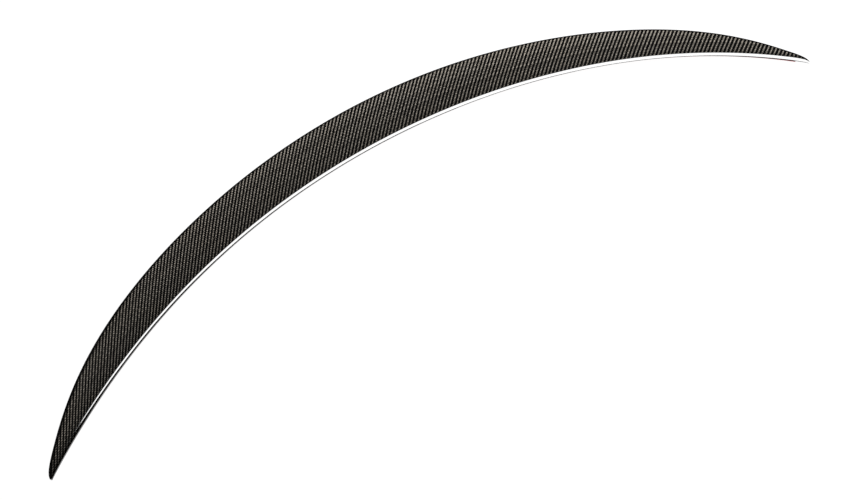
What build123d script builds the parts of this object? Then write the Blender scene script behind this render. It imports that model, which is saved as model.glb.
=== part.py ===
from build123d import *
import math
import os

# Boot lip spoiler: one moulded carbon skin, hollow underneath, held to a boot lid by foam tape.
# X runs across the car, Y to the rear and Z up. The origin is where the middle of the front edge meets the lid.

# Driving dimensions in millimetres and degrees
HALF_SPAN = 620.0  # middle of the lip to a tip, across the car
SWEEP = 198.0  # how far the tips lie ahead of the middle
SWEEP_END_SHARE = 0.13  # share of the sweep that is gained towards the tips
LID_SLOPE = 5.0  # the lid falls to the rear by this angle
LID_CROWN = 21.5  # and to each side by this much at the tips
DEPTH_MIDDLE = 63.5  # front edge to trailing edge, at the middle
DEPTH_TAPER = 0.26  # share of the depth that is lost along the span
RISE_MIDDLE = 16.0  # trailing edge above the front edge, at the middle
RISE_POWER = 2.5  # how fast that rise fades to the tips
TIP_SHARPNESS = 9  # how late the outline closes to the tips
TIP_POWER = 1.3  # how slender it is there
TIP_WIDTH = 4.0  # width of the face that is left where the tips round off
EDGE_HEIGHT = 3.4  # front edge of the skin
EDGE_SHARPNESS = 100  # how late the tips round off
BEVEL_RUN = 3.8  # run of the front edge, from its foot to the face
CREST_RUN = 0.9  # the front edge is steep up to its crest, this far back
CREST_HEIGHT = 1.7  # and this far up
CREST_ROUND = 4.4  # rounding of the crest
EDGE_ROUND = 1.6  # rounding between the front edge and the face
LIP_ROUND = 2.2  # rounding of the trailing edge
ROUND_WIDTH = 14.0  # a face narrower than this gets smaller roundings
FACE_ROUND = 45.0  # hollow of the face, at the middle
FACE_KNEE = 0.22  # where the face turns up, as a share of its depth
REAR_UNDERCUT = 8.0  # rear foot ahead of the trailing edge, at the middle
WALL = 2.2  # skin
FRONT_FLANGE = 15.0  # solid flange behind the front edge
REAR_FLANGE = 12.0  # return flange at the rear foot
SKIRT_DROP = 0.3  # the rear skirt and the tips reach this far below the tape's bonding face
DROP_SHARPNESS = 60  # how late the tips close down past the tape
HOLLOW_TIP_GAP = 111.6  # the hollow ends this far before the tips, across the car
FOAM = 1.1  # foam tape, thickness
LINER = 0.15  # release film under the tape, thickness
FILM_GAP = 0.02  # foam to film
FRONT_TAPE_WIDTH = 8.0
REAR_TAPE_WIDTH = 7.0
FRONT_TAPE_SETBACK = 2.4  # front edge to tape
RIGHT_END_SETBACK = 0.4  # the right front tape strays to the edge at its end
STRAY_POWER = 8  # how late it does so
REAR_TAPE_SETBACK = 0.8  # rear skirt to tape
FRONT_LINER_MARGIN = 1.2  # the film is wider than its foam by this much on each side
REAR_LINER_MARGIN = 0.4
TAPE_START = 7.0  # middle of the lip to the first tape ends
FRONT_TAPE_TIP_GAP = 20.0  # last tape ends to the tips, across the car
REAR_TAPE_TIP_GAP = 130.2

STATION_COUNT = 15  # cuts from the middle to a tip, closer together towards the tip
LAST_STATION = 87.2  # of the 90 degrees that stand for the half span
SEAM_STATIONS = 3  # cuts past the middle that keep the two halves smooth where they meet
CUT_DEPTH = 4.0  # how far the hollow's cutter reaches below the flanges
TAPE_BITE = 0.2  # how far the foam is drawn into the flange before the flange shapes it


def lid(x, y):
    """Height of the boot lid that the lip is moulded to."""
    return -math.tan(math.radians(LID_SLOPE)) * y - LID_CROWN * (x / HALF_SPAN) ** 4


def front_edge(share):
    """Plan position of the front edge and its heading, at a share of the half span."""
    square = SWEEP * (1 - SWEEP_END_SHARE)
    fourth = SWEEP * SWEEP_END_SHARE
    y = -square * share**2 - fourth * share**4
    heading = math.atan((-2 * square * share - 4 * fourth * share**3) / HALF_SPAN)
    return HALF_SPAN * share, y, heading


class Section:
    """One upright cut across the lip, square to its front edge. Its own axes are n, to the rear, and z, up."""

    def __init__(self, share):
        x, y, heading = front_edge(share)
        along = (math.cos(heading), math.sin(heading), 0)
        self.across = (-math.sin(heading), math.cos(heading), 0)
        self.origin = (x, y, 0)
        self.plane = Plane(origin=self.origin, x_dir=self.across, z_dir=along)
        s = abs(share)
        nose = math.sqrt(1 - s**EDGE_SHARPNESS)
        fade = (1 - s**2) ** RISE_POWER
        self.scale = (1 - DEPTH_TAPER * s**2) * (1 - s**TIP_SHARPNESS) ** TIP_POWER * math.cos(heading)
        face_width = (DEPTH_MIDDLE - BEVEL_RUN - TIP_WIDTH) * self.scale + TIP_WIDTH * nose
        self.round_share = min(1, face_width / ROUND_WIDTH)
        self.closed = s**DROP_SHARPNESS
        bevel = BEVEL_RUN * nose
        depth = bevel + face_width
        self.rear = depth - REAR_UNDERCUT * fade * self.scale
        self.skirt = WALL * self.round_share
        knee = bevel + FACE_KNEE * face_width
        edge_top = self.seat(0) + EDGE_HEIGHT * nose
        self.front_foot = (0, self.seat(0))
        self.crest = (CREST_RUN * nose, self.seat(0) + CREST_HEIGHT * nose)
        self.crest_round = CREST_ROUND * nose
        self.edge = (bevel, edge_top)
        self.knee = (knee, edge_top + self.lid_at(knee) - self.lid_at(bevel))
        self.lip = (depth, edge_top + RISE_MIDDLE * fade)
        self.rear_foot = (self.rear, self.lid_at(self.rear) - SKIRT_DROP)

    def lid_at(self, n):
        """Height of the lid at n."""
        return lid(self.origin[0] + n * self.across[0], self.origin[1] + n * self.across[1])

    def seat(self, n):
        """Underside of the flanges at n: one tape above the lid, and nearly down to it at the tips."""
        return self.lid_at(n) + FOAM * (1 - self.closed)

    def strip(self, start, end, low, high):
        """A tape's cut from n = start to n = end, between two heights above the lid."""
        corners = [(start, low), (end, low), (end, high), (start, high)]
        return self.face([(n, self.lid_at(n) + z, 0) for n, z in corners])

    def face(self, corners):
        """A closed outline of straight runs, with the corners (n, z, radius) rounded."""
        turns = []
        for i, (n, z, radius) in enumerate(corners):
            corner = Vector(n, z)
            back = (Vector(*corners[i - 1][:2]) - corner).normalized()
            ahead = (Vector(*corners[(i + 1) % len(corners)][:2]) - corner).normalized()
            half = math.radians(back.get_angle(ahead)) / 2
            reach = radius / math.tan(half)
            inset = (back + ahead).normalized() * (radius / math.sin(half) - radius)
            turns.append((corner + back * reach, corner + inset, corner + ahead * reach))
        runs = []
        for i, (start, middle, end) in enumerate(turns):
            if corners[i][2]:
                runs.append(ThreePointArc(start, middle, end))
            runs.append(Line(end, turns[(i + 1) % len(turns)][0]))
        return self.plane * make_face(runs)


def offset_corner(before, corner, after, distance):
    """Corner of two runs after both are moved to their right by a distance."""
    lines = []
    for start, end in ((before, corner), (corner, after)):
        length = math.dist(start, end)
        run = ((end[0] - start[0]) / length, (end[1] - start[1]) / length)
        lines.append((start[0] + run[1] * distance, start[1] - run[0] * distance, *run))
    (n1, z1, a1, b1), (n2, z2, a2, b2) = lines
    t = ((n2 - n1) * b2 - (z2 - z1) * a2) / (a1 * b2 - b1 * a2)
    return n1 + t * a1, z1 + t * b1


def outer_face(share):
    """The whole outline: front edge, hollow face, trailing edge, rear face with its skirt, and underside."""
    cut = Section(share)
    skirt = cut.rear - cut.skirt
    corners = [
        (skirt, cut.lid_at(skirt) - SKIRT_DROP, 0),
        (skirt, cut.seat(skirt), 0),
        (*cut.front_foot, 0),
        (*cut.crest, cut.crest_round),
        (*cut.edge, EDGE_ROUND * cut.round_share),
        (*cut.knee, FACE_ROUND * cut.scale),
        (*cut.lip, LIP_ROUND * cut.round_share),
        (*cut.rear_foot, 0),
    ]
    return cut.face(corners)


def hollow_face(share):
    """The hollow under the skin, open between the two flanges."""
    cut = Section(share)
    seat_foot = (cut.rear, cut.seat(cut.rear))
    lip = offset_corner(cut.knee, cut.lip, seat_foot, WALL)
    heel = offset_corner(cut.lip, seat_foot, cut.front_foot, WALL)
    slope = (cut.lip[1] - cut.knee[1]) / (cut.lip[0] - cut.knee[0])
    roof = lip[1] + (FRONT_FLANGE - lip[0]) * slope
    mouth = cut.rear - REAR_FLANGE
    flange_top = heel[1] + cut.lid_at(mouth) - cut.lid_at(heel[0])
    corners = [
        (FRONT_FLANGE, cut.seat(FRONT_FLANGE) - CUT_DEPTH, 0),
        (FRONT_FLANGE, roof, 0),
        (*lip, 0),
        (*heel, 0),
        (mouth, flange_top, 0),
        (mouth, cut.seat(mouth) - CUT_DEPTH, 0),
    ]
    return cut.face(corners)


def stations():
    """Shares of the half span from the middle to the tip."""
    step = math.radians(LAST_STATION) / (STATION_COUNT - 1)
    return [math.sin(i * step) for i in range(STATION_COUNT)]


def stations_between(start, end):
    """Stations from start to end, both included, with none crowded against them."""
    spacing = 0.25 / STATION_COUNT
    return [start, *(s for s in stations() if start + spacing < s < end - spacing), end]


def share_before_tip(gap):
    """Share of the half span at a distance from the tip."""
    return 1 - gap / HALF_SPAN


def past_middle(shares):
    """The same stations, led by a few on the other side of the middle."""
    return [-s for s in reversed(shares[1 : SEAM_STATIONS + 1])] + shares


def carbon_shell():
    """The moulded skin: solid at the front flange and the tips, hollow between."""
    body = loft([outer_face(s) for s in past_middle(stations())])
    hollow = loft([hollow_face(s) for s in past_middle(stations_between(0.0, share_before_tip(HOLLOW_TIP_GAP)))])
    half = split(body - hollow, Plane.YZ, keep=Keep.TOP)
    return half + mirror(half, Plane.YZ)


def front_tape_start(share, side):
    """n of the front tape's front edge: the right one strays to the edge of the lip."""
    end = RIGHT_END_SETBACK if side > 0 else FRONT_TAPE_SETBACK
    stray = (share / share_before_tip(FRONT_TAPE_TIP_GAP)) ** STRAY_POWER
    return FRONT_TAPE_SETBACK + (end - FRONT_TAPE_SETBACK) * stray


def tape_body(run, side, margin, low, high):
    """One length of tape or film, widened by a margin, between two heights above the lid.

    run is front or rear, and side is -1 for the left and 1 for the right.
    """
    last = share_before_tip(FRONT_TAPE_TIP_GAP if run == "front" else REAR_TAPE_TIP_GAP)
    faces = []
    for share in stations_between(TAPE_START / HALF_SPAN, last):
        cut = Section(side * share)
        if run == "front":
            start = front_tape_start(share, side)
            end = start + FRONT_TAPE_WIDTH
        else:
            end = cut.rear - WALL - REAR_TAPE_SETBACK
            start = end - REAR_TAPE_WIDTH
        faces.append(cut.strip(start - margin, end + margin, low, high))
    return loft(faces)


def foam_tape(run, side, shell):
    """One length of foam tape, its top shaped by the flange that it is stuck to."""
    return tape_body(run, side, 0.0, 0.0, FOAM + TAPE_BITE) - shell


def liner_film(run, side):
    """The release film under one length of tape."""
    margin = FRONT_LINER_MARGIN if run == "front" else REAR_LINER_MARGIN
    return tape_body(run, side, margin, -LINER - FILM_GAP, -FILM_GAP)


def main():
    """Build every piece and write one file for each."""
    parts = {"carbon_shell": carbon_shell()}
    for run in ("front", "rear"):
        for side, name in ((-1, "left"), (1, "right")):
            parts[f"{run}_tape_{name}"] = foam_tape(run, side, parts["carbon_shell"])
            parts[f"{run}_liner_{name}"] = liner_film(run, side)
    os.makedirs("parts", exist_ok=True)
    for name, shape in parts.items():
        export_step(shape, f"parts/{name}.step")


main()
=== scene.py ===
import math

import bpy
import numpy as np
from mathutils import Matrix, Vector


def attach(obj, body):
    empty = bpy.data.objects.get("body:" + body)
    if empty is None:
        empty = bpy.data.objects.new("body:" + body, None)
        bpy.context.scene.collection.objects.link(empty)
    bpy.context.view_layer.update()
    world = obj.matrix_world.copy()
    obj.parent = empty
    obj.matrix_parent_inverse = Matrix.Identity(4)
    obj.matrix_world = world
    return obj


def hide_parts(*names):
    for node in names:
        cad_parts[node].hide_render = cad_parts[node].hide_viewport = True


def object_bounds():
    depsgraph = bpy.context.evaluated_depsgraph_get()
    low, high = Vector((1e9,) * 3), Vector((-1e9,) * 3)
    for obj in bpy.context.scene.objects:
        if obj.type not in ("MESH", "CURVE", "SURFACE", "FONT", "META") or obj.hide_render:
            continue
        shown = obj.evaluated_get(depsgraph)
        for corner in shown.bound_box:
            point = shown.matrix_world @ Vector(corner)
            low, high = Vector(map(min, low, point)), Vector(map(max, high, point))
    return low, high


# Looks of a carbon-fibre boot lip: a fine mesh of its moulding with the cloth on it, the tape and the film.
# Lengths are in metres and angles in degrees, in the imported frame: X across the car, Y to the rear, Z up.

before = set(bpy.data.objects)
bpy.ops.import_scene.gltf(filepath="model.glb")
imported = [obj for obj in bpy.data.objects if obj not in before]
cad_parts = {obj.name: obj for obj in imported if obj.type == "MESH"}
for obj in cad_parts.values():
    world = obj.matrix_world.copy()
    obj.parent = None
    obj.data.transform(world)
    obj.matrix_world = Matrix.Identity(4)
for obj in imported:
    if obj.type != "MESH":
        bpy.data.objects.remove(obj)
cad_low, cad_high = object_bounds()

# Form of the moulding, the same driving sizes as the solid's
HALF_SPAN = 0.620  # middle of the lip to a tip, across the car
SWEEP = 0.198  # how far the tips lie ahead of the middle
SWEEP_END_SHARE = 0.13  # share of the sweep that is gained towards the tips
LID_SLOPE = 5.0  # the lid falls to the rear by this angle
LID_CROWN = 0.0215  # and to each side by this much at the tips
DEPTH_MIDDLE = 0.0635  # front edge to trailing edge, at the middle
DEPTH_TAPER = 0.26  # share of the depth that is lost along the span
RISE_MIDDLE = 0.016  # trailing edge above the front edge, at the middle
RISE_POWER = 2.5  # how fast that rise fades to the tips
TIP_SHARPNESS = 9  # how late the outline closes to the tips
TIP_POWER = 1.3  # how slender it is there
TIP_WIDTH = 0.004  # width of the face that is left where the tips round off
EDGE_HEIGHT = 0.0034  # front edge of the skin
EDGE_SHARPNESS = 100  # how late the tips round off
BEVEL_RUN = 0.0038  # run of the front edge, from its foot to the face
CREST_RUN = 0.0009  # the front edge is steep up to its crest, this far back
CREST_HEIGHT = 0.0017  # and this far up
CREST_ROUND = 0.0044  # rounding of the crest
EDGE_ROUND = 0.0016  # rounding between the front edge and the face
LIP_ROUND = 0.0022  # rounding of the trailing edge
ROUND_WIDTH = 0.014  # a face narrower than this gets smaller roundings
FACE_ROUND = 0.045  # hollow of the face, at the middle
FACE_KNEE = 0.22  # where the face turns up, as a share of its depth
REAR_UNDERCUT = 0.008  # rear foot ahead of the trailing edge, at the middle
WALL = 0.0022  # skin
FRONT_FLANGE = 0.015  # solid flange behind the front edge
REAR_FLANGE = 0.012  # return flange at the rear foot
SKIRT_DROP = 0.0003  # the rear skirt and the tips reach this far below the tape's bonding face
DROP_SHARPNESS = 60  # how late the tips close down past the tape
HOLLOW_TIP_GAP = 0.1116  # the hollow ends this far before the tips, across the car
FOAM = 0.0011  # foam tape, thickness

# Mesh of the moulding
LAST_STATION = 87.2  # of the 90 degrees that stand for the half span
HOLLOW_STEPS = 330  # steps from cut to cut over the hollow
TIP_STEPS = 60  # and over each solid tip
CREST_STEPS = 8  # points of each rounding
EDGE_STEPS = 6
KNEE_STEPS = 14
LIP_STEPS = 8
RAMP_STEPS = 6  # steps along the straight part of the face, and along the hollow's roof
SMALLEST_TURN = 1e-6  # least angle of a rounding, in radians
SHARP_ANGLE = 30.0  # edges that turn by more than this stay crisp
COATED, RAW, POLISHED = range(3)  # its materials

# Cloth
CLOTH_END = 1.05  # share of the half span that it is laid out to
CLOTH_STEPS = 2000  # in which the run of the front edge is added up
CLOTH_START = 1e-4  # least distance behind the foot at which its lean can be worked out
TOW_PITCH = 0.00162
TWILL_REPEAT = 4.0  # tows after which the weave starts again
TWILL_FLOAT = 2.0  # tows that a tow passes over before it dives
STREAKS_ALONG = 0.35  # streaks to a tow's width, along the fibres
STREAKS_ACROSS = 9.0  # and across them

# Painted highlight and painted shade of the tows under the coat, in their colour
NARROWEST_FACE = 0.001  # a narrower face counts as this wide
PAINTED_FACE_SHINE = (0.55, 1.2)  # painted shade near the front edge and painted highlight near the trailing edge
PAINTED_FACE_SHINE_SHARES = (0.1, 0.9)  # where on the face these two hold, as shares of its width
PAINTED_EDGE_SHINE = 0.28  # share of the painted highlight that is left on the front edge, a painted shade
EDGE_FADE = (-0.001, 0.003)  # where it fades, behind the face's front corner
PAINTED_RIM_SHINE = 0.03  # share of the painted highlight that is left on the trailing edge, a painted dark rim
RIM_FADE = (0.0028, 0.0050)  # where it fades, ahead of the trailing edge

# Clear coat
FACE_INDEX = 1.42  # its refraction on the face
EDGE_INDEX = 3.0  # and where it is polished bright, along the front edge
COAT_ROUGHNESS = 0.03

# Camera, fitted to the photograph's 850 by 500 frame
CAMERA_AZIMUTH = -48.572
CAMERA_ELEVATION = 58.074
CAMERA_ROLL = 15.523
CAMERA_DISTANCE = 1.4699
CAMERA_TARGET = Vector((-0.091, -0.1686, 0.0))
CAMERA_REACH = 200.0
FOCAL_PIXELS = 1137.7
PHOTO_WIDTH = 850
SENSOR_WIDTH = 36.0

# Cards that only gloss shows, with corners to the right of and above their middle or foot
LIGHT_CENTRE = Vector((0.0, -0.1, 0.0))  # what the box and the lamps face
BOX_AZIMUTH = 20.0  # a lit box, for the bright band along the front edge
BOX_ELEVATION = 30.0
BOX_DISTANCE = 3.0
BOX_RADIANCE = 4.2
BOX_CORNERS = ((-2.2, -0.8), (-0.85, -0.95), (-0.62, -1.16), (-0.29, -1.37), (0.06, -1.23), (0.37, -1.02),
               (2.4, -1.0), (2.0, 2.2), (-2.3, 0.8))
SKIRT_GAP = 0.02  # a dark sheet that hangs below the box, this far behind it
SKIRT_CORNERS = ((-2.6, -1.73), (2.6, -1.73), (2.6, 0.0), (-2.6, 0.0))
FLAG_FOOT = Vector((-0.131, -0.421, 0.0))  # a dark card that shades the gloss of the left end
FLAG_AZIMUTH = 48.0
FLAG_CORNERS = ((0.4, -0.01), (0.332, 0.055), (0.217, 0.1), (0.121, 0.2135), (0.0825, 0.347), (0.025, 0.43),
                (-0.044, 0.495), (-0.072, 0.545), (-0.083, 0.9), (-0.5, 0.9), (-0.5, -0.01))
REAR_CARD_WIDTH = 0.25  # a dark card that rises behind the trailing edge and darkens the gloss there
REAR_CARD_LIFT = 0.0005  # its front edge above the floor
REAR_CARD_RISE = 0.15  # its rear edge above the floor
REAR_CARD_END = 0.99  # share of the half span that it reaches to
REAR_CARD_STEPS = 12

# Floor and sky
FLOOR_RADIUS = 60.0
FLOOR_COLOR = (0.85, 0.85, 0.85, 1)
FLOOR_GLOW = 1.12  # of the white that the camera and gloss see
FLOOR_SHADE = 0.12  # share of the lit floor in that white, for the shadow
SKY_LOW = 0.10  # the sky is white up to this sine of the elevation
SKY_HIGH = 0.40  # and dark from here on
SKY_WHITE = (1, 1, 1, 1)
SKY_DARK = (0.04, 0.04, 0.045, 1)


def lid(x, y):
    """Height of the boot lid that the lip is moulded to."""
    return -math.tan(math.radians(LID_SLOPE)) * y - LID_CROWN * (x / HALF_SPAN) ** 4


def front_edge_y(share):
    """Plan line of the front edge."""
    return -SWEEP * ((1 - SWEEP_END_SHARE) * share**2 + SWEEP_END_SHARE * share**4)


def front_edge_slope(share):
    """Its slope in plan."""
    return -SWEEP * (2 * (1 - SWEEP_END_SHARE) * share + 4 * SWEEP_END_SHARE * share**3) / HALF_SPAN


def unit(vectors):
    """Vectors along the last axis, made one long."""
    return vectors / np.linalg.norm(vectors, axis=-1, keepdims=True)


def offset_corner(before, corner, after, distance):
    """Corner of two runs after both are moved to their right by a distance, for all cuts at once."""
    run_in, run_out = unit(corner - before), unit(after - corner)
    start_in = before + distance * np.stack([run_in[:, 1], -run_in[:, 0]], -1)
    start_out = corner + distance * np.stack([run_out[:, 1], -run_out[:, 0]], -1)
    gap = start_out - start_in
    turn = run_in[:, 0] * run_out[:, 1] - run_in[:, 1] * run_out[:, 0]
    along = (gap[:, 0] * run_out[:, 1] - gap[:, 1] * run_out[:, 0]) / turn
    return start_in + along[:, None] * run_in


def arc(before, corner, after, radius, steps):
    """Points of a rounded corner, from one tangent point to the other, for all cuts at once."""
    back, ahead = unit(before - corner), unit(after - corner)
    half = np.arccos(np.clip((back * ahead).sum(-1), -1, 1)) / 2
    centre = corner + unit(back + ahead) * (radius / np.sin(half))[:, None]
    reach = (radius / np.tan(half))[:, None]
    first, last = corner + back * reach - centre, corner + ahead * reach - centre
    sweep = np.maximum(np.pi - 2 * half, SMALLEST_TURN)
    points = []
    for t in np.linspace(0, 1, steps):
        blend = np.sin((1 - t) * sweep)[:, None] * first + np.sin(t * sweep)[:, None] * last
        points.append(centre + blend / np.sin(sweep)[:, None])
    return points


def between(start, end, steps):
    """Points inside a straight run, without its ends."""
    return [start + (end - start) * i / steps for i in range(1, steps)]


class Cuts:
    """Upright cuts across the lip, square to its front edge, each at a share of the half span.

    Their own axes are n, to the rear, and z, up.
    """

    def __init__(self, shares):
        s = np.abs(shares)
        heading = np.arctan(front_edge_slope(shares))
        self.shares = shares
        self.heading = heading
        self.origin = np.stack([HALF_SPAN * shares, front_edge_y(shares)], -1)
        self.across = np.stack([-np.sin(heading), np.cos(heading)], -1)

        # How the form fades towards the tips
        nose = np.sqrt(1 - s**EDGE_SHARPNESS)
        fade = (1 - s**2) ** RISE_POWER
        scale = (1 - DEPTH_TAPER * s**2) * (1 - s**TIP_SHARPNESS) ** TIP_POWER * np.cos(heading)
        face_width = (DEPTH_MIDDLE - BEVEL_RUN - TIP_WIDTH) * scale + TIP_WIDTH * nose
        round_share = np.minimum(1, face_width / ROUND_WIDTH)
        self.closed = s**DROP_SHARPNESS

        # Corners, from the front foot over the face to the rear foot and its skirt
        bevel = BEVEL_RUN * nose
        depth = bevel + face_width
        rear = depth - REAR_UNDERCUT * fade * scale
        skirt = rear - WALL * round_share
        knee = bevel + FACE_KNEE * face_width
        foot_z = self.seat(0 * s)
        edge_z = foot_z + EDGE_HEIGHT * nose
        self.foot = np.stack([0 * s, foot_z], -1)
        self.crest = np.stack([CREST_RUN * nose, foot_z + CREST_HEIGHT * nose], -1)
        self.edge = np.stack([bevel, edge_z], -1)
        self.knee = np.stack([knee, edge_z + self.lid_at(knee) - self.lid_at(bevel)], -1)
        self.lip = np.stack([depth, edge_z + RISE_MIDDLE * fade], -1)
        self.rear_foot = np.stack([rear, self.lid_at(rear) - SKIRT_DROP], -1)
        self.skirt_foot = np.stack([skirt, self.lid_at(skirt) - SKIRT_DROP], -1)
        self.skirt_top = np.stack([skirt, self.seat(skirt)], -1)
        self.heel_seat = np.stack([rear, self.seat(rear)], -1)

        # Their roundings
        self.crest_radius = CREST_ROUND * nose
        self.edge_radius = EDGE_ROUND * round_share
        self.knee_radius = FACE_ROUND * scale
        self.lip_radius = LIP_ROUND * round_share

    def lid_at(self, n):
        """Height of the lid at n."""
        return lid(self.origin[:, 0] + n * self.across[:, 0], self.origin[:, 1] + n * self.across[:, 1])

    def seat(self, n):
        """Underside of the flanges at n."""
        return self.lid_at(n) + FOAM * (1 - self.closed)

    def outside(self):
        """The shown outline, from the front foot over the face and the trailing edge to the rear skirt."""
        ramp_end = arc(self.knee, self.lip, self.rear_foot, self.lip_radius, LIP_STEPS)
        ramp_start = arc(self.edge, self.knee, self.lip, self.knee_radius, KNEE_STEPS)
        return [
            self.foot,
            *arc(self.foot, self.crest, self.edge, self.crest_radius, CREST_STEPS),
            *arc(self.crest, self.edge, self.knee, self.edge_radius, EDGE_STEPS),
            *ramp_start,
            *between(ramp_start[-1], ramp_end[0], RAMP_STEPS),
            *ramp_end,
            self.rear_foot,
            self.skirt_foot,
            self.skirt_top,
        ]

    def under(self, n):
        """Point of the underside at n, on the straight run from the skirt to the front foot."""
        share = n / self.skirt_top[:, 0]
        return np.stack([n, self.foot[:, 1] + share * (self.skirt_top[:, 1] - self.foot[:, 1])], -1)

    def hollow(self):
        """The hollow's roof, from the rear flange to the front one."""
        lip = offset_corner(self.knee, self.lip, self.heel_seat, WALL)
        heel = offset_corner(self.lip, self.heel_seat, self.foot, WALL)
        mouth = self.rear_foot[:, 0] - REAR_FLANGE
        flange_top = np.stack([mouth, heel[:, 1] + self.lid_at(mouth) - self.lid_at(heel[:, 0])], -1)
        ramp = self.lip - self.knee
        roof = lip[:, 1] + (FRONT_FLANGE - lip[:, 0]) * ramp[:, 1] / ramp[:, 0]
        roof_front = np.stack([np.full_like(roof, FRONT_FLANGE), roof], -1)
        return [flange_top, heel, lip, *between(lip, roof_front, RAMP_STEPS), roof_front]

    def place(self, points):
        """Points (n, z) of every cut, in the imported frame."""
        n, z = points[..., 0], points[..., 1]
        x = self.origin[:, 0] + n * self.across[:, 0]
        y = self.origin[:, 1] + n * self.across[:, 1]
        return np.stack([x, y, z], -1)

    def gaps(self, points):
        """How far each point lies behind the front edge and ahead of the trailing edge."""
        return points[..., 0] - self.edge[:, 0], self.lip[:, 0] - points[..., 0]

    def cloth(self, points):
        """Where each point lies on the cloth: u along the lip, v from its front edge along the surface."""
        steps = np.linalg.norm(np.diff(points, axis=0), axis=-1)
        length = np.concatenate([0 * steps[:1], steps]).cumsum(0)
        place = self.place(points)
        share = np.clip(place[..., 0] / HALF_SPAN, -CLOTH_END, CLOTH_END)
        fine = np.linspace(-CLOTH_END, CLOTH_END, CLOTH_STEPS + 1)
        step = HALF_SPAN * np.hypot(1, front_edge_slope(fine)) * (fine[1] - fine[0])
        run = np.cumsum(step) - step.sum() / 2
        # The tows across the lip lie along Y, so a length along the cut is leaned over to Y
        n = points[..., 0]
        lean = (place[..., 1] - front_edge_y(share)) / np.maximum(n, CLOTH_START)
        lean = np.where(n > CLOTH_START, lean, 1 / np.cos(self.heading))
        return np.stack([np.interp(share, fine, run), lean * length], -1)


class Skin:
    """Faces of a mesh, each with its corners' places on the cloth and its material."""

    def __init__(self):
        self.faces = []
        self.places = []
        self.materials = []

    def face(self, corners, material):
        """Adds a face. Each corner is a point's number and its place on the cloth."""
        self.faces.append([int(number) for number, _ in corners])
        self.places.extend(place for _, place in corners)
        self.materials.append(material)

    def strip(self, numbers, cloth, row, columns, material):
        """Adds the faces between one row of points and the next."""
        for c in columns:
            corners = ((row, c), (row, c + 1), (row + 1, c + 1), (row + 1, c))
            self.face([(numbers[k], cloth[k]) for k in corners], material)

    def mesh(self, name, points):
        """The mesh on those of the points that its faces use, and their numbers."""
        used = np.unique(np.concatenate(self.faces))
        renumber = np.full(len(points), -1)
        renumber[used] = np.arange(len(used))
        mesh = bpy.data.meshes.new(name)
        mesh.from_pydata(points[used].tolist(), [], [renumber[face].tolist() for face in self.faces])
        layer = mesh.uv_layers.new(name="cloth")
        layer.data.foreach_set("uv", np.array(self.places, np.float32).ravel())
        mesh.polygons.foreach_set("material_index", self.materials)
        mesh.polygons.foreach_set("use_smooth", [True] * len(self.faces))
        return mesh, used


def station_shares():
    """Cuts from tip to tip, closer together towards the tips, with one at each end of the hollow."""
    end = math.radians(LAST_STATION)
    hollow_end = math.asin(1 - HOLLOW_TIP_GAP / HALF_SPAN)
    middle = np.linspace(-hollow_end, hollow_end, HOLLOW_STEPS + 1)
    tip = np.linspace(hollow_end, end, TIP_STEPS + 1)[1:]
    return np.sin(np.concatenate([-tip[::-1], middle, tip]))


def moulding_mesh():
    """The moulding as one closed mesh: a coated outside, and a raw underside with its hollow."""
    cuts = Cuts(station_shares())
    count = len(cuts.shares)
    first, last = TIP_STEPS, count - 1 - TIP_STEPS
    # Past the hollow the underside keeps the flange lines, as shares of its width
    nearest = np.clip(np.arange(count), first, last)
    width = cuts.skirt_top[:, 0]
    mouth_share = (cuts.rear_foot[:, 0] - REAR_FLANGE) / width
    flange_share = FRONT_FLANGE / width
    mouth, flange = (cuts.under(share[nearest] * width) for share in (mouth_share, flange_share))
    outside = np.array(cuts.outside())
    underside = np.array([cuts.skirt_top, mouth, *cuts.hollow(), flange, cuts.foot])
    section = np.concatenate([outside, underside[1:-1]])
    outer_cloth, under_cloth = cuts.cloth(outside), cuts.cloth(underside)

    rows = len(outside)
    numbers = np.arange(len(section) * count).reshape(len(section), count)
    outer = numbers[:rows]
    under = np.concatenate([outer[-1:], numbers[rows:], outer[:1]])
    mouth_row, flange_row = 1, len(under) - 2
    flange_lines = [mouth_row, flange_row]
    everywhere, hollow_cuts = range(count - 1), range(first, last)
    solid_cuts = [c for c in everywhere if c not in hollow_cuts]
    edge_rows = CREST_STEPS + EDGE_STEPS

    skin = Skin()
    for row, material in enumerate([POLISHED] * edge_rows + [COATED] * (rows - 2 - edge_rows) + [RAW]):
        skin.strip(outer, outer_cloth, row, everywhere, material)
    for row in (0, flange_row):
        skin.strip(under, under_cloth, row, everywhere, RAW)
    for row in range(mouth_row, flange_row):
        skin.strip(under, under_cloth, row, hollow_cuts, RAW)
    skin.strip(under[flange_lines], under_cloth[flange_lines], 0, solid_cuts, RAW)
    for c in (first, last):
        wall = [(under[r, c], under_cloth[r, c]) for r in range(mouth_row, flange_row + 1)]
        skin.face(wall[::-1] if c == first else wall, RAW)
    for c in (0, count - 1):
        tip = [(outer[r, c], outer_cloth[r, c]) for r in range(rows)]
        tip += [(under[r, c], under_cloth[r, c]) for r in flange_lines]
        skin.face(tip if c == 0 else tip[::-1], COATED)

    mesh, used = skin.mesh("carbon_lip", cuts.place(section).reshape(-1, 3))
    for name, gap in zip(("front_gap", "lip_gap"), cuts.gaps(section)):
        values = gap.ravel()[used].astype(np.float32)
        mesh.attributes.new(name, "FLOAT", "POINT").data.foreach_set("value", values)
    mesh.set_sharp_from_angle(angle=math.radians(SHARP_ANGLE))
    mesh.validate()
    return mesh


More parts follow.
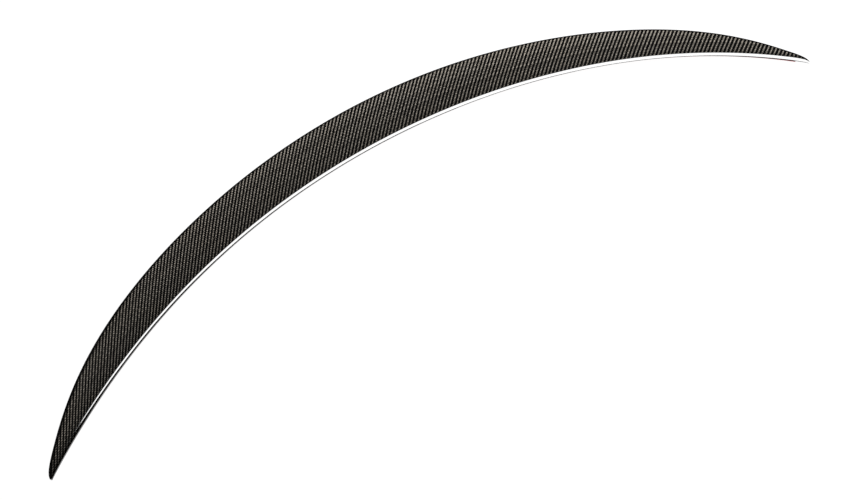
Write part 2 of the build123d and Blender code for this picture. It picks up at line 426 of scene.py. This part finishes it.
class Graph:
    """A material's node tree, with short ways to add to it."""

    def __init__(self, name):
        self.material = bpy.data.materials.new(name)
        self.material.use_nodes = True
        self.tree = self.material.node_tree
        self.tree.nodes.clear()
        self.output = self.add("ShaderNodeOutputMaterial")

    def add(self, kind, **settings):
        """A node with its settings."""
        node = self.tree.nodes.new(kind)
        for key, value in settings.items():
            setattr(node, key, value)
        return node

    def put(self, socket, value):
        """Links an output to a socket, or sets the socket's own value."""
        if isinstance(value, bpy.types.NodeSocket):
            self.tree.links.new(value, socket)
        else:
            socket.default_value = value

    def math(self, operation, *values, clamp=False):
        """A Math node's result."""
        node = self.add("ShaderNodeMath", operation=operation, use_clamp=clamp)
        for socket, value in zip(node.inputs, values):
            self.put(socket, value)
        return node.outputs[0]

    def product(self, first, *others):
        """Numbers multiplied one by one."""
        for other in others:
            first = self.math("MULTIPLY", first, other)
        return first

    def mix(self, share, low, high):
        """A number between two others."""
        node = self.add("ShaderNodeMix", data_type="FLOAT")
        for socket, value in zip((node.inputs[0], node.inputs[2], node.inputs[3]), (share, low, high)):
            self.put(socket, value)
        return node.outputs[0]

    def mix_color(self, share, low, high):
        """A colour between two others."""
        node = self.add("ShaderNodeMix", data_type="RGBA")
        for socket, value in zip((node.inputs[0], node.inputs[6], node.inputs[7]), (share, low, high)):
            self.put(socket, value)
        return node.outputs[2]

    def ramp(self, value, start, end, low, high):
        """A number that goes from low to high while the value goes from start to end."""
        node = self.add("ShaderNodeMapRange", clamp=True)
        for socket, number in zip(node.inputs, (value, start, end, low, high)):
            self.put(socket, number)
        return node.outputs[0]

    def attribute(self, name):
        """A number that the mesh carries."""
        return self.add("ShaderNodeAttribute", attribute_name=name).outputs["Fac"]

    def place(self):
        """Where a point lies on its object."""
        return self.add("ShaderNodeTexCoord").outputs["Object"]

    def combine(self, x, y):
        """A flat vector of two numbers."""
        node = self.add("ShaderNodeCombineXYZ")
        for socket, value in zip(node.inputs, (x, y)):
            self.put(socket, value)
        return node.outputs[0]

    def noise(self, vector, scale, detail=2.0, roughness=0.5):
        """Noise around 0.5."""
        node = self.add("ShaderNodeTexNoise")
        self.put(node.inputs["Vector"], vector)
        node.inputs["Scale"].default_value = scale
        node.inputs["Detail"].default_value = detail
        node.inputs["Roughness"].default_value = roughness
        return node.outputs["Fac"]

    def bump(self, height, distance):
        """A normal from a height of 0 to 1."""
        node = self.add("ShaderNodeBump")
        node.inputs["Strength"].default_value = 1.0
        node.inputs["Distance"].default_value = distance
        self.put(node.inputs["Height"], height)
        return node.outputs["Normal"]

    def principled(self, **values):
        """The surface shader, with its inputs by name."""
        node = self.add("ShaderNodeBsdfPrincipled")
        for name, value in values.items():
            self.put(node.inputs[name.replace("_", " ")], value)
        self.put(self.output.inputs["Surface"], node.outputs[0])


def twill(graph):
    """Two-by-two twill from the cloth's own coordinates.

    Gives which tow lies on top (1 along the lip, 0 across it), its height across and along its float from
    0 to 1, streaks along its fibres and a number that differs from tow to tow.
    """
    split = graph.add("ShaderNodeSeparateXYZ")
    graph.put(split.inputs[0], graph.add("ShaderNodeUVMap", uv_map="cloth").outputs[0])
    u = graph.math("DIVIDE", split.outputs[0], TOW_PITCH)
    v = graph.math("DIVIDE", split.outputs[1], TOW_PITCH)
    column, row = graph.math("FLOOR", u), graph.math("FLOOR", v)
    across_u, across_v = graph.math("FRACT", u), graph.math("FRACT", v)
    phase = graph.math("FLOORED_MODULO", graph.math("SUBTRACT", column, row), TWILL_REPEAT)
    back_phase = graph.math("FLOORED_MODULO", graph.math("SUBTRACT", row, column), TWILL_REPEAT)
    on_top = graph.math("LESS_THAN", phase, TWILL_FLOAT - 0.5)

    def hump(position):
        """0 at both ends of a tow or a float and 1 in the middle."""
        return graph.product(position, 4.0, graph.math("SUBTRACT", 1.0, position))

    warp_run = graph.math("DIVIDE", graph.math("ADD", phase, across_u), TWILL_FLOAT)
    weft_tow = graph.math("SUBTRACT", back_phase, 1.0)
    weft_run = graph.math("DIVIDE", graph.math("ADD", weft_tow, across_v), TWILL_FLOAT)
    side = hump(graph.mix(on_top, across_u, across_v))
    run = graph.math("MAXIMUM", hump(graph.mix(on_top, weft_run, warp_run)), 0.0)

    warp_streaks = graph.combine(graph.product(u, STREAKS_ALONG), graph.product(v, STREAKS_ACROSS))
    weft_streaks = graph.combine(graph.product(u, STREAKS_ACROSS), graph.product(v, STREAKS_ALONG))
    fibres = graph.mix(on_top, graph.noise(weft_streaks, 1.0), graph.noise(warp_streaks, 1.0))
    tow = graph.add("ShaderNodeTexWhiteNoise", noise_dimensions="2D")
    weft_number = graph.product(column, graph.math("SUBTRACT", 1.0, on_top))
    graph.put(tow.inputs["Vector"], graph.combine(weft_number, graph.product(row, on_top)))
    return on_top, side, run, fibres, tow.outputs["Value"]


def painted_cloth_shine(graph):
    """How strongly the tows shine, painted into their colour: a painted highlight towards the trailing
    edge, and painted shade at the rounded edges.
    """
    front, behind = graph.attribute("front_gap"), graph.attribute("lip_gap")
    width = graph.math("MAXIMUM", graph.math("ADD", front, behind), NARROWEST_FACE)
    # Painted shade near the front edge and painted highlight towards the trailing edge, then painted shade
    # on both rounded edges
    painted_gradient = graph.ramp(graph.math("DIVIDE", front, width), *PAINTED_FACE_SHINE_SHARES, *PAINTED_FACE_SHINE)
    edge = graph.ramp(front, *EDGE_FADE, PAINTED_EDGE_SHINE, 1.0)
    rim = graph.ramp(behind, *RIM_FADE, PAINTED_RIM_SHINE, 1.0)
    return graph.product(painted_gradient, edge, rim)


def coated_carbon(name, coat_index):
    """Twill under a gloss clear coat, with painted glints on the crowns of the tows and painted shade
    towards its edges.
    """
    graph = Graph(name)
    # Painted glint colours of the tows along the lip, the tows' dark colours, and the painted highlight of
    # the tows across it
    warm_painted_glint = (0.64, 0.56, 0.46, 1)
    cool_painted_glint = (0.62, 0.585, 0.52, 1)
    warp_dark = (0.0018, 0.0015, 0.0012, 1)
    weft_dark = (0.0012, 0.0012, 0.0012, 1)
    weft_lit = (0.004, 0.0038, 0.0038, 1)
    tones_per_metre = 25.0
    spread = (0.6, 1.4)  # of the shine, from tow to tow and from fibre to fibre
    side_power, run_power = 3.0, 1.6  # how narrow and how short the painted highlight on the crown of a tow is
    weave_depth = 0.0001

    on_top, side, run, fibres, tow = twill(graph)
    crown = graph.product(graph.math("POWER", side, side_power), graph.math("POWER", run, run_power))
    shade = graph.product(graph.mix(tow, *spread), graph.mix(fibres, *spread), painted_cloth_shine(graph))
    # The lit crown of each tow is a painted highlight, scaled by the painted shine and shade across the
    # face
    lit = graph.math("MULTIPLY", crown, shade, clamp=True)
    painted_glint = graph.mix_color(graph.noise(graph.place(), tones_per_metre), warm_painted_glint, cool_painted_glint)
    warp = graph.mix_color(lit, warp_dark, painted_glint)
    weft = graph.mix_color(lit, weft_dark, weft_lit)
    graph.principled(
        Base_Color=graph.mix_color(on_top, weft, warp),
        Roughness=0.45,
        IOR=1.5,
        Specular_IOR_Level=0.0,
        Normal=graph.bump(crown, weave_depth),
        Coat_Weight=1.0,
        Coat_Roughness=COAT_ROUGHNESS,
        Coat_IOR=coat_index,
    )
    return graph.material


def raw_carbon():
    """The moulding's underside: the same cloth, dull, with resin in its weave."""
    graph = Graph("raw_carbon")
    warp_dark = (0.012, 0.012, 0.011, 1)
    warp_lit = (0.075, 0.072, 0.066, 1)
    weft_dark = (0.010, 0.010, 0.010, 1)
    weft_lit = (0.035, 0.034, 0.032, 1)
    tow_spread = (0.9, 1.1)
    fibre_spread = (0.7, 1.3)
    run_power = 0.5  # how short the painted highlight on the crown of a tow is
    weave_depth = 0.00025
    weave_share = 0.6  # of the relief. The rest is uneven resin
    patches_per_metre = 60.0
    dullness = (0.35, 0.6)

    on_top, side, run, fibres, tow = twill(graph)
    crown = graph.product(side, graph.math("POWER", run, run_power))
    shade = graph.product(graph.mix(tow, *tow_spread), graph.mix(fibres, *fibre_spread))
    # The lit crowns of the tows are a painted highlight in their colour
    lit = graph.math("MULTIPLY", crown, shade, clamp=True)
    warp = graph.mix_color(lit, warp_dark, warp_lit)
    weft = graph.mix_color(lit, weft_dark, weft_lit)
    resin = graph.noise(graph.place(), patches_per_metre, detail=3.0)
    graph.principled(
        Base_Color=graph.mix_color(on_top, weft, warp),
        Roughness=graph.mix(resin, *dullness),
        IOR=1.5,
        Normal=graph.bump(graph.mix(weave_share, resin, crown), weave_depth),
    )
    return graph.material


def foam():
    """Closed-cell foam tape: dark, matte and finely pitted at its edges."""
    graph = Graph("tape_foam")
    pit_colors = (0.018, 0.018, 0.019, 1), (0.035, 0.035, 0.037, 1)
    wall_colors = (0.05, 0.05, 0.052, 1), (0.075, 0.075, 0.078, 1)
    cells_per_metre = 4500.0
    patches_per_metre = 90.0
    pit_gain = 1.4
    pit_depth = 0.00008

    place = graph.place()
    cells = graph.add("ShaderNodeTexVoronoi", feature="F1")
    graph.put(cells.inputs["Vector"], place)
    cells.inputs["Scale"].default_value = cells_per_metre
    pits = graph.math("MULTIPLY", cells.outputs["Distance"], pit_gain, clamp=True)
    mottle = graph.noise(place, patches_per_metre, detail=3.0)
    low, high = graph.mix_color(mottle, *pit_colors), graph.mix_color(mottle, *wall_colors)
    graph.principled(
        Base_Color=graph.mix_color(pits, high, low),
        Roughness=0.92,
        Specular_IOR_Level=0.25,
        Normal=graph.bump(pits, pit_depth),
    )
    return graph.material


def film():
    """Red release film: satin, with a fine grain and a few creases."""
    graph = Graph("release_film")
    deep_red = (0.52, 0.014, 0.022, 1)
    bright_red = (0.70, 0.03, 0.04, 1)
    creases_per_metre = 45.0
    grains_per_metre = 1800.0
    satin = (0.28, 0.42)
    relief = 0.00005
    grain_share = 0.3  # of the relief. The rest is creases

    place = graph.place()
    creases = graph.noise(place, creases_per_metre, detail=4.0, roughness=0.6)
    grain = graph.noise(place, grains_per_metre)
    graph.principled(
        Base_Color=graph.mix_color(creases, deep_red, bright_red),
        Roughness=graph.mix(grain, *satin),
        IOR=1.5,
        Normal=graph.bump(graph.mix(grain_share, creases, grain), relief),
    )
    return graph.material


def add_object(name, data):
    """A new object in the scene."""
    thing = bpy.data.objects.new(name, data)
    bpy.context.scene.collection.objects.link(thing)
    return thing


def dress():
    """Puts the fine moulding in the shell's place and gives the tape and film their finish."""
    lip = add_object("carbon_lip", moulding_mesh())
    # In the order of COATED, RAW and POLISHED
    lip.data.materials.append(coated_carbon("coated_carbon", FACE_INDEX))
    lip.data.materials.append(raw_carbon())
    lip.data.materials.append(coated_carbon("polished_edge", EDGE_INDEX))
    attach(lip, "root")
    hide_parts("carbon_shell")
    finishes = {"tape": foam(), "liner": film()}
    for run in ("front", "rear"):
        for side in ("left", "right"):
            for piece, material in finishes.items():
                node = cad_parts[f"{run}_{piece}_{side}"]
                node.data.materials.clear()
                node.data.materials.append(material)


def facing(azimuth, elevation, roll=0.0):
    """Axes of something that looks at the object: its right, its up and away from the object.

    It stands at an azimuth, from -Y towards +X, and an elevation.
    """
    a, e, turn = (math.radians(angle) for angle in (azimuth, elevation, roll))
    away = Vector((math.sin(a) * math.cos(e), -math.cos(a) * math.cos(e), math.sin(e)))
    right = Vector((math.cos(a), math.sin(a), 0))
    up = away.cross(right)
    return math.cos(turn) * right + math.sin(turn) * up, math.cos(turn) * up - math.sin(turn) * right, away


def matrix_of(axes, place):
    """World matrix from three axes and a place."""
    matrix = Matrix.Identity(4)
    for column, axis in enumerate((*axes, place)):
        matrix.col[column].xyz = axis
    return matrix


def camera():
    """The photograph's camera."""
    data = bpy.data.cameras.new("camera")
    data.sensor_width = SENSOR_WIDTH
    data.lens = FOCAL_PIXELS / PHOTO_WIDTH * SENSOR_WIDTH
    data.clip_end = CAMERA_REACH
    eye = add_object("camera", data)
    axes = facing(CAMERA_AZIMUTH, CAMERA_ELEVATION, CAMERA_ROLL)
    eye.matrix_world = matrix_of(axes, CAMERA_TARGET + CAMERA_DISTANCE * axes[2])
    bpy.context.scene.camera = eye


def sheet(name, corners, material):
    """A flat piece of the stage."""
    mesh = bpy.data.meshes.new(name)
    mesh.from_pydata(corners, [], [range(len(corners))])
    mesh.materials.append(material)
    return add_object(name, mesh)


def board(name, corners, radiance):
    """A flat card that shows in gloss only: a lit box, or a dark card at radiance 0."""
    graph = Graph(name)
    glow = graph.add("ShaderNodeEmission")
    glow.inputs["Strength"].default_value = radiance
    graph.put(graph.output.inputs["Surface"], glow.outputs[0])
    graph.material.cycles.emission_sampling = "NONE"
    card = sheet(name, corners, graph.material)
    card.visible_camera = False
    card.visible_diffuse = False
    card.visible_transmission = False
    card.visible_volume_scatter = False
    card.visible_shadow = False


def cards():
    """The lit box with the dark sheet below it, the flag, and the card behind the trailing edge."""
    right, up, away = facing(BOX_AZIMUTH, BOX_ELEVATION)
    box = LIGHT_CENTRE + BOX_DISTANCE * away
    skirt = box + SKIRT_GAP * away
    board("softbox", [box + x * right + y * up for x, y in BOX_CORNERS], BOX_RADIANCE)
    board("box_skirt", [skirt + x * right + y * up for x, y in SKIRT_CORNERS], 0.0)
    along = facing(FLAG_AZIMUTH, 0)[0]
    board("flag", [FLAG_FOOT + x * along + Vector((0, 0, z)) for x, z in FLAG_CORNERS], 0.0)
    cuts = Cuts(np.linspace(-REAR_CARD_END, REAR_CARD_END, REAR_CARD_STEPS + 1))
    near, far = cuts.place(cuts.lip), cuts.place(cuts.lip + (REAR_CARD_WIDTH, 0))
    near[:, 2] = cad_low.z + REAR_CARD_LIFT
    far[:, 2] = cad_low.z + REAR_CARD_RISE
    for i in range(REAR_CARD_STEPS):
        board(f"rear_card_{i}", [near[i], near[i + 1], far[i + 1], far[i]], 0.0)


def panel(name, azimuth, elevation, distance, size, radiance):
    """A rectangular lamp that faces the object and shows in no gloss."""
    data = bpy.data.lights.new(name, "AREA")
    data.shape = "RECTANGLE"
    data.size, data.size_y = size
    data.energy = radiance * math.pi * size[0] * size[1]
    lamp = add_object(name, data)
    axes = facing(azimuth, elevation)
    lamp.matrix_world = matrix_of(axes, LIGHT_CENTRE + distance * axes[2])
    lamp.visible_camera = False
    lamp.visible_glossy = False


def lamps():
    """A key above the right end and a fill from behind."""
    panel("key", azimuth=105, elevation=60, distance=0.95, size=(1.0, 0.75), radiance=4.6)
    panel("back_fill", azimuth=190, elevation=25, distance=3.0, size=(3.0, 1.2), radiance=3.0)


def sky():
    """A dim sky over a white horizon."""
    world = bpy.data.worlds.new("studio")
    bpy.context.scene.world = world
    world.use_nodes = True
    tree = world.node_tree
    coords = tree.nodes.new("ShaderNodeTexCoord")
    split = tree.nodes.new("ShaderNodeSeparateXYZ")
    ramp = tree.nodes.new("ShaderNodeValToRGB")
    tree.links.new(coords.outputs["Generated"], split.inputs[0])
    tree.links.new(split.outputs["Z"], ramp.inputs[0])
    tree.links.new(ramp.outputs[0], tree.nodes["Background"].inputs["Color"])
    horizon, above = ramp.color_ramp.elements
    horizon.position, horizon.color = SKY_LOW, SKY_WHITE
    above.position, above.color = SKY_HIGH, SKY_DARK


def floor():
    """A plain pale floor that shows white and keeps the shadow."""
    graph = Graph("pale_floor")
    rays = graph.add("ShaderNodeLightPath").outputs
    mirrored = graph.math("MAXIMUM", rays["Is Glossy Ray"], rays["Is Transmission Ray"])
    matt = graph.add("ShaderNodeBsdfDiffuse")
    matt.inputs["Color"].default_value = FLOOR_COLOR
    glow = graph.add("ShaderNodeEmission")
    glow.inputs["Strength"].default_value = FLOOR_GLOW
    shown = graph.add("ShaderNodeMixShader")
    shown.inputs[0].default_value = FLOOR_SHADE
    graph.put(shown.inputs[1], glow.outputs[0])
    graph.put(shown.inputs[2], matt.outputs[0])
    both = graph.add("ShaderNodeMixShader")
    graph.put(both.inputs[0], graph.math("MAXIMUM", rays["Is Camera Ray"], mirrored))
    graph.put(both.inputs[1], matt.outputs[0])
    graph.put(both.inputs[2], shown.outputs[0])
    graph.put(graph.output.inputs["Surface"], both.outputs[0])
    r, z = FLOOR_RADIUS, cad_low.z
    plane = sheet("floor", [(-r, -r, z), (r, -r, z), (r, r, z), (-r, r, z)], graph.material)


camera()
dress()
cards()
lamps()
sky()
floor()
bpy.context.scene.view_settings.view_transform = "Standard"
